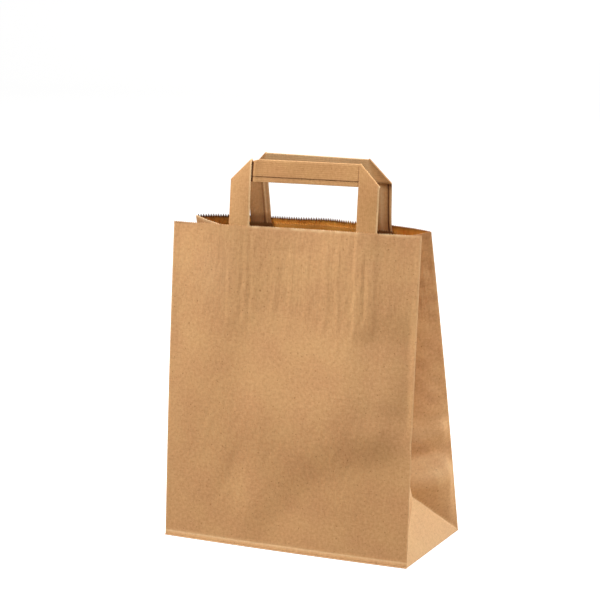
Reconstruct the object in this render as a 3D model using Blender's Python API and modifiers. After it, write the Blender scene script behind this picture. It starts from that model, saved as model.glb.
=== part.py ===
"""Paper carrier bag: a block-bottom bag of brown kraft paper with two flat tape handles.

The bag is one folded sheet. Its front and back panels lean together towards the mouth, and both
side gussets fold inwards above the triangle at their foot. Every fold is worked out from the
lengths of the flat sheet. Metres, +Z up, origin at the centre of the base, front panel towards -Y.
"""
import bpy
import bmesh
from math import asin, cos, exp, pi, radians, sin, sqrt
from mathutils import Vector

# The flat sheet
BAG_WIDTH = 0.220
GUSSET_WIDTH = 0.110
FRONT_HEIGHT = 0.263
BACK_HEIGHT = 0.267
PAPER = 0.0003
FLAP_LENGTH = 0.067
LAP_WIDTH = 0.016
LAP_FROM_EDGE = 0.030
LAP_PROUD = 0.0002
LAP_TOP_DROP = 0.0015
TOOTH_PITCH = 0.0022
TOOTH_DEPTH = 0.0010

# How the bag stands: how far each corner of the mouth has come in from above its base corner
FRONT_LEFT_LEAN = 0.0265
FRONT_RIGHT_LEAN = 0.0315
BACK_LEFT_LEAN = 0.0495
BACK_RIGHT_LEAN = 0.0555
FRONT_EDGE_BOW = 0.0014
BACK_EDGE_BOW = 0.0024
BASE_BOW = 0.0016
FRONT_MOUTH_BOW = 0.0030
FRONT_LEG_BOW = 0.0055
BACK_MOUTH_BOW = 0.0090
BACK_CENTRE_BOW = 0.0040
FRONT_PINCH = 0.0003
BACK_PINCH = 0.0018
# Between the centre and an edge, where each swell of the mouth lies and how it grows up the panel
LEG_BOW_WAVES = 0.75
BACK_CENTRE_PLACE = 0.08
BACK_CENTRE_SPREAD = 0.17
BOW_GROWTH = 1.5

# Handles, of folded paper tape
TAPE_WIDTH = 0.0182
TAPE = 0.0008
TAPE_SEAM = 0.0044
SEAM_STEP = 0.0002
HANDLE_SPAN = 0.131
LEG_LENGTH = 0.082
CLEARANCE = 0.0003
HANDLES = {
    "front": {"centre": 0.0090, "rise": 0.0369, "lean": radians(8.6), "tilt": radians(0.2)},
    "rear": {"centre": 0.0063, "rise": 0.0365, "lean": radians(5.3), "tilt": radians(0.6)},
}

# Patches glued over the handles' legs
PATCH_MARGIN = 0.005
PATCH_HEIGHT = 0.098
PATCH_DROP = 0.005
PATCH_RAMP = 0.003

# Facets
PANEL_COLUMNS = 24
GUSSET_COLUMNS = 5
UPPER_ROWS = 12
LEG_ROWS = 8
RISE_SHARES = (0.25, 0.6)
FOLD_STEPS = 6
PATCH_ROWS = 8
PATCH_SPANS = 8
SLOPE_STEP = 0.002

SIDES = {"front": -1.0, "rear": 1.0}
HEIGHTS = {"front": FRONT_HEIGHT, "rear": BACK_HEIGHT}
EDGE_BOWS = {"front": FRONT_EDGE_BOW, "rear": BACK_EDGE_BOW}
PINCHES = {"front": FRONT_PINCH, "rear": BACK_PINCH}
LEANS = {
    ("front", -1): FRONT_LEFT_LEAN,
    ("front", 1): FRONT_RIGHT_LEAN,
    ("rear", -1): BACK_LEFT_LEAN,
    ("rear", 1): BACK_RIGHT_LEAN,
}

# The base is three plies thick, with the middle of the topmost one at the floor's level. The end
# flaps come up through it by one and a half plies.
FLOOR_PLIES = 2.5
END_FLAP_PLIES = 1.5
FLOOR_LEVEL = FLOOR_PLIES * PAPER
HALF_GUSSET = GUSSET_WIDTH / 2
TRIANGLE_TOP = HALF_GUSSET / FRONT_HEIGHT


def clear_scene():
    for old in list(bpy.data.objects):
        bpy.data.objects.remove(old, do_unlink=True)


def new_collection(name):
    collection = bpy.data.collections.new(name)
    bpy.context.scene.collection.children.link(collection)
    return collection


def paper_material(name, colour, roughness):
    material = bpy.data.materials.new(name)
    material.use_nodes = True
    shader = material.node_tree.nodes["Principled BSDF"]
    shader.inputs["Base Color"].default_value = (*colour, 1.0)
    shader.inputs["Roughness"].default_value = roughness
    shader.inputs["Metallic"].default_value = 0.0
    return material


def smooth_step(value):
    value = min(max(value, 0.0), 1.0)
    return value * value * (3 - 2 * value)


def mouth_bow(side, across):
    """How far the panel's top edge stands out from the line between its corners."""
    edge_fade = 1 - across ** 4
    if side == "front":
        return edge_fade * (FRONT_MOUTH_BOW + FRONT_LEG_BOW * sin(LEG_BOW_WAVES * pi * across) ** 2)
    from_swell = (across - BACK_CENTRE_PLACE) / BACK_CENTRE_SPREAD
    return edge_fade * BACK_MOUTH_BOW + BACK_CENTRE_BOW * exp(-from_swell ** 2)


def panel_point(side, across, up):
    """A point of the front or back panel: across runs -1 to 1, up runs 0 at the base to 1 at the mouth.

    The height follows from the sheet's length: what the sheet leans, it loses in height.
    """
    sign = SIDES[side]
    share = (across + 1) / 2
    lean = LEANS[side, -1] * (1 - share) + LEANS[side, 1] * share
    bow = EDGE_BOWS[side] * sin(pi * up) + mouth_bow(side, across) * up ** BOW_GROWTH
    inward = lean * up - bow
    base_bow = BASE_BOW * (1 - across ** 2)
    pinch = PINCHES[side] * up * across
    length = HEIGHTS[side] * up
    height = sqrt(length ** 2 - inward ** 2 - pinch ** 2) if up > 0 else 0.0
    return Vector((
        across * BAG_WIDTH / 2 - pinch,
        sign * (HALF_GUSSET + base_bow * (1 - up) - inward),
        FLOOR_LEVEL + height,
    ))


def panel_inward(side, across, up):
    """The panel's unit normal, towards the inside of the bag."""
    low = min(up, 1 - SLOPE_STEP)
    left = max(across - SLOPE_STEP, -1)
    right = min(across + SLOPE_STEP, 1)
    rise = panel_point(side, across, low + SLOPE_STEP) - panel_point(side, across, low)
    run = panel_point(side, right, low) - panel_point(side, left, low)
    normal = rise.cross(run).normalized()
    return normal if normal.y * SIDES[side] < 0 else -normal


def fold_drop(end):
    """How far the gusset's middle fold hangs below the corners, from the lean of the panels."""
    angle = asin((LEANS["front", end] + LEANS["rear", end]) / (FRONT_HEIGHT + BACK_HEIGHT))
    return HALF_GUSSET * sin(angle) * (1 - sin(angle)) / cos(angle)


def fold_point(end, up):
    """The gusset's middle fold, half a gusset's width away from both corners of the bag."""
    front = panel_point("front", end, up)
    rear = panel_point("rear", end, up)
    middle = (front + rear) / 2
    half_gap = (rear - front).length / 2
    drop = fold_drop(end)
    inward = sqrt(HALF_GUSSET ** 2 - half_gap ** 2 - drop ** 2)
    return Vector((middle.x - end * inward, middle.y, middle.z - drop))


def gusset_point(end, across, up):
    """A point of a side gusset: across runs -1 at the front corner to 1 at the back corner.

    Below the fold's foot the sheet is creased along the two diagonals of the base triangle.
    """
    side = "front" if across <= 0 else "rear"
    corner = panel_point(side, end, up)
    from_corner = 1 - abs(across)
    if up >= TRIANGLE_TOP:
        return corner.lerp(fold_point(end, up), from_corner)
    reach = up / TRIANGLE_TOP
    apex = fold_point(end, TRIANGLE_TOP)
    creases = {name: panel_point(name, end, 0).lerp(apex, reach) for name in SIDES}
    if from_corner < reach:
        return corner.lerp(creases[side], from_corner / reach)
    half = 1 - reach
    share = (across + half) / (2 * half) if half > 0 else 0.5
    return creases["front"].lerp(creases["rear"], share)


def row_levels():
    """Rows of the sheet: one for each gusset column up to the triangle's top, then even ones."""
    lower = [TRIANGLE_TOP * row / GUSSET_COLUMNS for row in range(GUSSET_COLUMNS)]
    upper = [TRIANGLE_TOP + (1 - TRIANGLE_TOP) * row / UPPER_ROWS for row in range(UPPER_ROWS + 1)]
    return lower + upper


def bag_columns():
    """The columns round the bag, each a function of up, with the way its quads are split."""
    columns = []
    for index in range(PANEL_COLUMNS):
        across = -1 + 2 * index / PANEL_COLUMNS
        columns.append((lambda up, a=across: panel_point("front", a, up), "rising"))
    for index in range(2 * GUSSET_COLUMNS):
        across = -1 + index / GUSSET_COLUMNS
        split = "rising" if across < 0 else "falling"
        columns.append((lambda up, a=across: gusset_point(1, a, up), split))
    for index in range(PANEL_COLUMNS):
        across = 1 - 2 * index / PANEL_COLUMNS
        columns.append((lambda up, a=across: panel_point("rear", a, up), "rising"))
    for index in range(2 * GUSSET_COLUMNS):
        across = 1 - index / GUSSET_COLUMNS
        split = "rising" if across > 0 else "falling"
        columns.append((lambda up, a=across: gusset_point(-1, a, up), split))
    return columns


def split_quad(mesh, low_left, low_right, high_right, high_left, split):
    """Two triangles, divided along the diagonal that the crease follows."""
    if split == "rising":
        mesh.faces.new((low_left, low_right, high_right))
        mesh.faces.new((low_left, high_right, high_left))
    else:
        mesh.faces.new((low_left, low_right, high_left))
        mesh.faces.new((low_right, high_right, high_left))


def fan_strip(mesh, left_foot, right_foot, edge):
    """Triangles between two feet and a finely divided edge that runs from left to right above them."""
    middle = len(edge) // 2
    for index in range(len(edge) - 1):
        foot = left_foot if index < middle else right_foot
        mesh.faces.new((foot, edge[index + 1], edge[index]))
    mesh.faces.new((left_foot, right_foot, edge[middle]))


def toothed_strip(mesh, left, right, below_left, below_right):
    """One column's top strip, its upper edge cut to teeth between two corner vertices."""
    span = right.co - left.co
    down = (below_left.co - left.co).normalized() * TOOTH_DEPTH
    half_teeth = 2 * max(round(span.length / TOOTH_PITCH), 1)
    edge = [left]
    for half_tooth in range(1, half_teeth):
        valley = down if half_tooth % 2 else Vector()
        edge.append(mesh.verts.new(left.co + span * half_tooth / half_teeth + valley))
    fan_strip(mesh, below_left, below_right, edge + [right])


def mesh_object(name, mesh, collection, material=None):
    bmesh.ops.recalc_face_normals(mesh, faces=mesh.faces)
    data = bpy.data.meshes.new(name)
    mesh.to_mesh(data)
    mesh.free()
    result = bpy.data.objects.new(name, data)
    if material:
        data.materials.append(material)
    collection.objects.link(result)
    return result


def add_thickness(target, thickness, offset=0.0):
    solidify = target.modifiers.new("paper thickness", "SOLIDIFY")
    solidify.thickness = thickness
    solidify.offset = offset
    solidify.use_even_offset = True
    solidify.use_quality_normals = True


def sheet_floor(mesh, ring):
    """The innermost ply of the base, from the ring of vertices that its folds run along."""
    corner = PANEL_COLUMNS
    rear_corner = corner + 2 * GUSSET_COLUMNS
    front = ring[:corner + 1]
    right = ring[corner:rear_corner + 1]
    rear = ring[rear_corner:rear_corner + corner + 1][::-1]
    left = ring[rear_corner + corner:] + [ring[0]]
    for index in range(1, corner - 1):
        split_quad(mesh, front[index], front[index + 1], rear[index + 1], rear[index], "rising")
    fan_strip(mesh, rear[-2], front[-2], right[::-1])
    fan_strip(mesh, front[1], rear[1], left[::-1])


def folded_sheet(name, collection, material):
    """The walls and the innermost ply of the base, as an open surface with thickness."""
    mesh = bmesh.new()
    columns = bag_columns()
    levels = row_levels()
    grid = [[mesh.verts.new(point(up)) for up in levels] for point, split in columns]
    for index, (point, split) in enumerate(columns):
        left = grid[index]
        right = grid[(index + 1) % len(columns)]
        for row in range(len(levels) - 2):
            split_quad(mesh, left[row], right[row], right[row + 1], left[row + 1], split)
        toothed_strip(mesh, left[-1], right[-1], left[-2], right[-2])
    sheet_floor(mesh, [column[0] for column in grid])
    sheet = mesh_object(name, mesh, collection, material)
    add_thickness(sheet, PAPER)
    return sheet


def flat_ply(name, outline, bottom, top, collection):
    """A flat flap of the base: an outline filled and pulled up to its thickness."""
    mesh = bmesh.new()
    face = mesh.faces.new([mesh.verts.new((x, y, bottom)) for x, y in outline])
    pulled = bmesh.ops.extrude_face_region(mesh, geom=[face])
    for element in pulled["geom"]:
        if isinstance(element, bmesh.types.BMVert):
            element.co.z = top
    bmesh.ops.triangulate(mesh, faces=mesh.faces)
    ply = mesh_object(name, mesh, collection)
    ply.hide_render = True
    ply.display_type = "WIRE"
    return ply


def long_flap_outline(side):
    """A long flap of the base, cut at 45 degrees from both corners."""
    sign = SIDES[side]
    folded_edge = [panel_point(side, -1 + 2 * step / PANEL_COLUMNS, 0) for step in range(PANEL_COLUMNS + 1)]
    free_end = BAG_WIDTH / 2 - FLAP_LENGTH
    free_level = sign * (HALF_GUSSET - FLAP_LENGTH)
    return [(point.x, point.y) for point in folded_edge] + [(free_end, free_level), (-free_end, free_level)]


def end_flap_outline(end):
    inner = end * (BAG_WIDTH / 2 - FLAP_LENGTH)
    outer = end * BAG_WIDTH / 2
    return [(inner, -HALF_GUSSET), (outer, -HALF_GUSSET), (outer, HALF_GUSSET), (inner, HALF_GUSSET)]


def lap_seam(name, collection):
    """The strip where the sheet's two ends lie over each other, on the outside of the back panel."""
    mesh = bmesh.new()
    outer = 1 - 2 * LAP_FROM_EDGE / BAG_WIDTH
    inner = outer - 2 * LAP_WIDTH / BAG_WIDTH
    steps = max(round(LAP_WIDTH * PANEL_COLUMNS / BAG_WIDTH), 1)
    ends = [PAPER / BACK_HEIGHT, 1 - LAP_TOP_DROP / BACK_HEIGHT]
    levels = ends[:1] + row_levels()[1:-1] + ends[1:]
    grid = []
    for step in range(steps + 1):
        across = outer + (inner - outer) * step / steps
        column = []
        for up in levels:
            outward = -LAP_PROUD * panel_inward("rear", across, up)
            column.append(mesh.verts.new(panel_point("rear", across, up) + outward))
        grid.append(column)
    for left, right in zip(grid, grid[1:]):
        for row in range(len(levels) - 1):
            split_quad(mesh, left[row], right[row], right[row + 1], left[row + 1], "rising")
    strip = mesh_object(name, mesh, collection)
    add_thickness(strip, PAPER)
    strip.hide_render = True
    strip.display_type = "WIRE"
    return strip


def unite(target, others):
    for other in others:
        union = target.modifiers.new("joined " + other.name, "BOOLEAN")
        union.operation = "UNION"
        union.solver = "EXACT"
        union.object = other


def bag_body(parts, cutters, material):
    body = folded_sheet("bag_body", parts, material)
    end_flap_top = FLOOR_LEVEL + END_FLAP_PLIES * PAPER
    unite(body, [
        flat_ply("front_long_flap", long_flap_outline("front"), 0.0, FLOOR_LEVEL, cutters),
        flat_ply("rear_long_flap", long_flap_outline("rear"), PAPER, FLOOR_LEVEL, cutters),
        flat_ply("right_end_flap", end_flap_outline(1), FLOOR_LEVEL, end_flap_top, cutters),
        flat_ply("left_end_flap", end_flap_outline(-1), FLOOR_LEVEL, end_flap_top, cutters),
        lap_seam("lap_seam", cutters),
    ])
    return body


def leg_centres(side):
    centre = HANDLES[side]["centre"]
    reach = (HANDLE_SPAN - TAPE_WIDTH) / 2
    return centre - reach, centre + reach


def tape_point(side, x, rise, depth):
    """A point of a handle: x across the bag, rise above the panel's top edge, depth in from the panel.

    Inside the bag the tape lies on the panel. Above it, it stands in one leaning plane through both legs.
    """
    across = x / (BAG_WIDTH / 2)
    if rise <= 0:
        up = 1 + rise / HEIGHTS[side]
        return panel_point(side, across, up) + depth * panel_inward(side, across, up)
    handle = HANDLES[side]
    root = panel_point(side, across, 1) + depth * panel_inward(side, across, 1)
    left_x, right_x = leg_centres(side)
    left = panel_point(side, left_x / (BAG_WIDTH / 2), 1)
    right = panel_point(side, right_x / (BAG_WIDTH / 2), 1)
    straight = left.lerp(right, (x - left_x) / (right_x - left_x))
    straight = straight + depth * Vector((0, -SIDES[side], 0))
    straight.x = x
    free = smooth_step(rise / handle["rise"])
    lift = Vector((
        rise * sin(handle["tilt"]),
        -SIDES[side] * rise * sin(handle["lean"]),
        rise * cos(handle["lean"]) - (x - handle["centre"]) * sin(handle["tilt"]) * free,
    ))
    return root.lerp(straight, free) + lift


def tape_section(side, end, place):
    """One closed section of the tape: its smooth face, then the face with the free edge of its last ply.

    For a distance in from the leg's outer edge and a height off the tape's middle, place gives the
    distance out past the crease, the rise and the depth.
    """
    outer_edge = HANDLES[side]["centre"] + end * HANDLE_SPAN / 2
    half = TAPE / 2
    stops = [0.0, TAPE_SEAM, (TAPE_SEAM + TAPE_WIDTH) / 2, TAPE_WIDTH]

    def at(stop, height):
        reach, rise, depth = place(stop, height)
        return tape_point(side, outer_edge - end * (stop - reach), rise, depth)

    smooth_face = [at(stop, -half) for stop in stops]
    stepped_face = [at(stop, half) for stop in reversed(stops[1:])]
    step = [at(stop, half - SEAM_STEP) for stop in (TAPE_SEAM, 0.0)]
    return smooth_face + stepped_face + step


def handle_sections(side, end):
    """The sections of one leg, from its cut end up to its crease and round the fold.

    On the fold a section is turned by an angle about the line between the tape's two layers.
    """
    radius = (TAPE + CLEARANCE) / 2
    leg_depth = PAPER / 2 + CLEARANCE + TAPE / 2
    crease = HANDLES[side]["rise"] - (radius + TAPE / 2) * sqrt(2)

    def on_leg(level):
        return lambda stop, height: (0.0, level, leg_depth + height)

    def on_fold(angle):
        def place(stop, height):
            reach = (radius - height) * sin(angle) / sqrt(2)
            return reach, crease + stop + reach, leg_depth + radius - (radius - height) * cos(angle)
        return place

    places = [on_leg(LEG_LENGTH * (row / LEG_ROWS - 1)) for row in range(LEG_ROWS + 1)]
    places += [on_leg(share * crease) for share in RISE_SHARES]
    places += [on_fold(pi * step / FOLD_STEPS) for step in range(FOLD_STEPS + 1)]
    return [tape_section(side, end, place) for place in places]


def tape_handle(side, parts, material):
    """A handle: leg, fold, bar, fold and leg, as one run of sections with closed ends."""
    left = handle_sections(side, -1)
    right = handle_sections(side, 1)
    sections = left + right[::-1]
    mesh = bmesh.new()
    loops = [[mesh.verts.new(point) for point in section] for section in sections]
    for loop, following in zip(loops, loops[1:]):
        for index in range(len(loop)):
            after = (index + 1) % len(loop)
            split_quad(mesh, loop[index], loop[after], following[after], following[index], "rising")
    ends = [mesh.faces.new(loops[0]), mesh.faces.new(loops[-1])]
    bmesh.ops.triangulate(mesh, faces=ends)
    return mesh_object(side + "_handle", mesh, parts, material)


def patch_depth(side, x, drop):
    """How deep the patch lies: on the panel, and lifted over each leg and down past its end."""
    flat = PAPER + CLEARANCE
    lifted = flat + TAPE + CLEARANCE
    half_leg = TAPE_WIDTH / 2 + 2 * CLEARANCE
    beside = min(abs(x - centre) for centre in leg_centres(side)) - half_leg
    below = drop - LEG_LENGTH - 2 * CLEARANCE
    away = max(beside, below) / PATCH_RAMP
    return lifted + (flat - lifted) * min(max(away, 0.0), 1.0)


def patch_stops(side):
    """The patch's columns: its edges, both foot lines of each leg's ramps, and the spans between."""
    centre = HANDLES[side]["centre"]
    half = HANDLE_SPAN / 2 + PATCH_MARGIN
    half_leg = TAPE_WIDTH / 2 + 2 * CLEARANCE
    foot = half_leg + PATCH_RAMP
    stops = [centre - half, centre + half]
    for leg in leg_centres(side):
        stops += [leg - foot, leg - half_leg, leg, leg + half_leg, leg + foot]
    gap_start = leg_centres(side)[0] + foot
    gap_end = leg_centres(side)[1] - foot
    stops += [gap_start + (gap_end - gap_start) * step / PATCH_SPANS for step in range(1, PATCH_SPANS)]
    return sorted(stops)


def handle_patch(side, parts, material):
    """The rectangle glued over a handle's legs, its top edge cut with the same teeth as the bag's."""
    mesh = bmesh.new()
    drops = [PATCH_DROP + PATCH_HEIGHT * row / PATCH_ROWS for row in range(PATCH_ROWS + 1)]
    leg_end = LEG_LENGTH + 2 * CLEARANCE
    drops += [leg_end, leg_end + PATCH_RAMP]
    drops = sorted(drops)[::-1]
    grid = []
    for x in patch_stops(side):
        across = x / (BAG_WIDTH / 2)
        column = []
        for drop in drops:
            up = 1 - drop / HEIGHTS[side]
            inward = panel_inward(side, across, up)
            column.append(mesh.verts.new(panel_point(side, across, up) + patch_depth(side, x, drop) * inward))
        grid.append(column)
    for left, right in zip(grid, grid[1:]):
        for row in range(len(drops) - 2):
            split_quad(mesh, left[row], right[row], right[row + 1], left[row + 1], "rising")
        toothed_strip(mesh, left[-1], right[-1], left[-2], right[-2])
    patch = mesh_object(side + "_handle_patch", mesh, parts, material)
    add_thickness(patch, PAPER)
    return patch


clear_scene()
parts = new_collection("paper carrier bag")
cutters = new_collection("plies to join")
kraft = paper_material("brown kraft paper", (0.52, 0.31, 0.14), 0.85)
tape_paper = paper_material("kraft tape", (0.50, 0.30, 0.14), 0.8)
patch_paper = paper_material("kraft patch", (0.45, 0.26, 0.11), 0.85)
bag_body(parts, cutters, kraft)
for side in SIDES:
    tape_handle(side, parts, tape_paper)
    handle_patch(side, parts, patch_paper)
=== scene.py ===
"""Paper carrier bag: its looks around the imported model. Metres, +Z up, front panel towards -Y."""

from math import cos, pi, radians, sin, sqrt

import bmesh
import bpy
import numpy as np
from mathutils import Matrix, Vector


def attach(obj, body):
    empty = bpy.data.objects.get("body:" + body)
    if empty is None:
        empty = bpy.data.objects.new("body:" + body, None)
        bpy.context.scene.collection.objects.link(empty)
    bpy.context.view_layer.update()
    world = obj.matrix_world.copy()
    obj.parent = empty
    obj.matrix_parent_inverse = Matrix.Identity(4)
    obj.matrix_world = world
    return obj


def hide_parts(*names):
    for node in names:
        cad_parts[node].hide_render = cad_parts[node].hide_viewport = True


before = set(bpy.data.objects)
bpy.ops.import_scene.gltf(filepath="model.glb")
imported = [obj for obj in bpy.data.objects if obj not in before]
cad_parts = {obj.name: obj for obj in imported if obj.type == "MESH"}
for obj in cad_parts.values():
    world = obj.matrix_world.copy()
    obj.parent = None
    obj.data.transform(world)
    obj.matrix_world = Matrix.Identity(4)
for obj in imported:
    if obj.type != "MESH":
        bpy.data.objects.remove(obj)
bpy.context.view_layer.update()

# The folded sheet
# One piece of ribbed brown kraft paper, cut across the mouth by a toothed knife. It is folded to a
# front, a back and two gussets, the gussets creased inwards above the triangle at their foot.
BAG_WIDTH = 0.220
HALF_WIDTH = BAG_WIDTH / 2
HALF_GUSSET = 0.055
PAPER = 0.0003
FLOOR_LEVEL = 2.5 * PAPER
HEIGHTS = {"front": 0.263, "rear": 0.267}
SIGNS = {"front": -1.0, "rear": 1.0}
TRIANGLE_TOP = HALF_GUSSET / HEIGHTS["front"]
LEANS = {"front": {-1: 0.0265, 1: 0.0315}, "rear": {-1: 0.0495, 1: 0.0555}}
EDGE_BOWS = {"front": 0.0014, "rear": 0.0024}
PINCHES = {"front": 0.0003, "rear": 0.0018}
BASE_BOW = 0.0016
TOOTH_PITCH = 0.0022
TOOTH_DEPTHS = {"front": 0.0009, "rear": 0.0028, "patch": 0.0018}
HANDLE_CENTRES = {"front": 0.0090, "rear": 0.0057}
LEG_REACH = 0.0564
LEG_HALF = 0.0091
LEG_LENGTH = 0.082


def soft_step(value):
    """Rises from 0 to 1 as value does, level at both ends: three squares less two cubes."""
    value = np.clip(value, 0, 1)
    return value * value * (3 - 2 * value)


def hill(value, centre, width):
    """A bell curve of height 1: e to the minus square of the distance over the width."""
    return np.exp(-((value - centre) / width) ** 2)


def mouth_bow(side, across):
    """How far the lip stands out between its corners, less towards them as a fourth power."""
    fade = 1 - across ** 4
    if side == "front":
        return fade * (0.0030 + 0.0055 * np.sin(0.75 * pi * across) ** 2)
    return fade * 0.0090 + 0.0040 * hill(across, 0.08, 0.17)


def panel(side, across, up):
    """A panel leans in as its corners do and bows out along its height as a sine.

    across runs -1 to 1 and up 0 to 1. The height is what the sheet's length leaves after the lean.
    """
    across, up = np.broadcast_arrays(across, up)
    lean = LEANS[side][-1] + (LEANS[side][1] - LEANS[side][-1]) * (across + 1) / 2
    inward = lean * up - EDGE_BOWS[side] * np.sin(pi * up) - mouth_bow(side, across) * up ** 1.5
    pinch = PINCHES[side] * up * across
    height = np.sqrt(np.maximum((HEIGHTS[side] * up) ** 2 - inward ** 2 - pinch ** 2, 0))
    base_bow = BASE_BOW * (1 - across ** 2) * (1 - up)
    y = SIGNS[side] * (HALF_GUSSET + base_bow - inward)
    return np.stack([across * HALF_WIDTH - pinch, y, FLOOR_LEVEL + height], axis=-1)


def middle_fold(end, up):
    """The gusset's inner fold: half a gusset's width from both corners, and hung a little lower."""
    front = panel("front", end, up)
    rear = panel("rear", end, up)
    angle = np.arcsin((LEANS["front"][end] + LEANS["rear"][end]) / (HEIGHTS["front"] + HEIGHTS["rear"]))
    drop = HALF_GUSSET * np.sin(angle) * (1 - np.sin(angle)) / np.cos(angle)
    half_gap = np.linalg.norm(rear - front, axis=-1) / 2
    inward = np.sqrt(np.maximum(HALF_GUSSET ** 2 - half_gap ** 2 - drop ** 2, 0))
    fold = (front + rear) / 2
    fold[..., 0] -= end * inward
    fold[..., 2] -= drop
    return fold


def gusset(end, across, up):
    """A gusset runs straight from each corner to its middle fold.

    In the triangle at its foot it runs from the corner to a crease, and level between the creases.
    across runs -1 at the front to 1 at the back.
    """
    across, up = np.broadcast_arrays(across, up)
    rear_half = (across > 0)[..., None]
    corner = np.where(rear_half, panel("rear", end, up), panel("front", end, up))
    from_corner = (1 - np.abs(across))[..., None]
    above = corner + (middle_fold(end, np.maximum(up, TRIANGLE_TOP)) - corner) * from_corner
    reach = np.clip(up / TRIANGLE_TOP, 0, 1)[..., None]
    apex = middle_fold(end, np.array(TRIANGLE_TOP))
    front_crease = panel("front", end, 0.0) * (1 - reach) + apex * reach
    rear_crease = panel("rear", end, 0.0) * (1 - reach) + apex * reach
    crease = np.where(rear_half, rear_crease, front_crease)
    beside = corner + (crease - corner) * np.minimum(from_corner / np.maximum(reach, 1e-9), 1)
    half = np.maximum(1 - reach, 1e-9)
    share = np.clip((across[..., None] + half) / (2 * half), 0, 1)
    between = front_crease + (rear_crease - front_crease) * share
    below = np.where(from_corner < reach, beside, between)
    return np.where((up >= TRIANGLE_TOP)[..., None], above, below)


def ripples(across, along, size, seed):
    """A gentle unevenness about one high: nine sine waves of random direction, near size in length."""
    dice = np.random.default_rng(seed)
    total = 0
    for turn, length, phase in zip(dice.uniform(0, pi, 9), dice.uniform(0.7, 1.6, 9), dice.uniform(0, 2 * pi, 9)):
        total = total + np.sin(2 * pi * (across * cos(turn) + along * sin(turn)) / (size * length) + phase)
    return total / 4


def window(value, start, stop, fade):
    """1 between start and stop, falling softly to 0 over the fade outside both."""
    return soft_step(1 + (value - start) / fade) * soft_step(1 + (stop - value) / fade)


def handle_relief(side, x, drop):
    """The ridges that the two glued legs press into a panel: flat-topped, with a rounded lower end."""
    total = 0
    for end, height in ((-1, 0.0004), (1, 0.0007)):
        beside = np.abs(x - HANDLE_CENTRES[side] - end * LEG_REACH) - LEG_HALF
        below = drop - LEG_LENGTH
        away = np.maximum(beside, below / 5)
        total = total + height * soft_step(0.5 - away / 0.0030)
    return total


def front_creases(x, drop):
    """Two soft diagonal creases low on the front. The larger runs in from the right edge and turns
    down as an exponential curve. Before each the paper stands further out."""
    steepness = 1.20 * np.exp(-x / 0.0446)
    beyond = (drop - 0.163 - 0.0446 * steepness) / np.sqrt(1 + steepness ** 2)
    beyond = beyond + 0.0012 * ripples(x, drop, 0.070, 15)
    strength = soft_step((x + 0.050) / 0.030) * (1 + 0.6 * hill(x, 0.098, 0.032))
    larger = 0.0022 * (1 - soft_step(beyond / 0.036 + 0.5)) * soft_step((drop - 0.060) / 0.100)
    larger = larger + 0.0005 * hill(beyond, -0.036, 0.018)
    beyond = 0.83 * (x + 0.030) + 0.56 * (drop - 0.165) + 0.0020 * ripples(x, drop, 0.050, 16)
    along = 0.83 * (drop - 0.165) - 0.56 * (x + 0.030)
    smaller = -0.0009 * soft_step(beyond / 0.020 + 0.5) * hill(along, 0.034, 0.036)
    return (strength * larger + smaller) * soft_step((HALF_WIDTH - np.abs(x)) / 0.030)


def front_relief(x, drop):
    """The front's own unevenness, outwards: margins drawn forward, glue lines, wrinkles over the right
    leg and two soft diagonal creases."""
    high = 1 - soft_step((drop - 0.06) / 0.09)
    margin = HALF_WIDTH - np.abs(x)
    total = -0.0013 * high * (1 - np.exp(-margin / 0.009))
    total = total + handle_relief("front", x, drop)
    glued = window(drop, 0.022, 0.072, 0.016)
    for place, height, width in ((-0.0435, -0.00040, 0.0014), (-0.033, 0.00028, 0.0020), (-0.015, 0.00034, 0.0022),
                                 (0.000, 0.00034, 0.0018), (0.014, 0.00026, 0.0016), (0.031, 0.00044, 0.0024),
                                 (0.042, 0.00034, 0.0016), (0.080, -0.00030, 0.0022)):
        wander = 0.0006 * np.sin(drop / 0.011 + place * 400)
        total = total + height * glued * hill(x + wander, place, width)
    hook = 0.0655 - 0.0045 * soft_step((drop - 0.066) / 0.010)
    total = total - 0.00050 * window(drop, 0.028, 0.070, 0.012) * hill(x, hook, 0.0016)
    total = total - 0.0016 * window(drop, 0.090, 0.140, 0.030) * soft_step((x - 0.050) / 0.028)
    total = total - 0.00042 * hill(drop, 0.020, 0.0018) * hill(x, 0.000, 0.018)
    total = total + front_creases(x, drop)
    return total + 0.00022 * ripples(x, drop, 0.060, 11) + 0.00007 * ripples(x * 2, drop, 0.014, 12)


def rear_relief(x, drop):
    """The back's unevenness: the legs' ridges over long gentle waves."""
    total = handle_relief("rear", x, drop) + 0.0007 * ripples(x, drop, 0.080, 21)
    return total + 0.00008 * ripples(x * 2, drop, 0.016, 22)


def panel_relief(side, across, up):
    """How far a panel's paper stands out: its own unevenness, fading out at the folds, and a foot that
    flares out under a crease 3.4 mm above the floor."""
    level = up * HEIGHTS[side]
    x = across * HALF_WIDTH
    own = (front_relief if side == "front" else rear_relief)(x, HEIGHTS[side] - level)
    margin = HALF_WIDTH - np.abs(x)
    foot = 0.0006 * (1 - soft_step(level / 0.0040))
    return own * soft_step(level / 0.040) * soft_step(margin / 0.006) + foot * soft_step(margin / 0.003)


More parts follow.
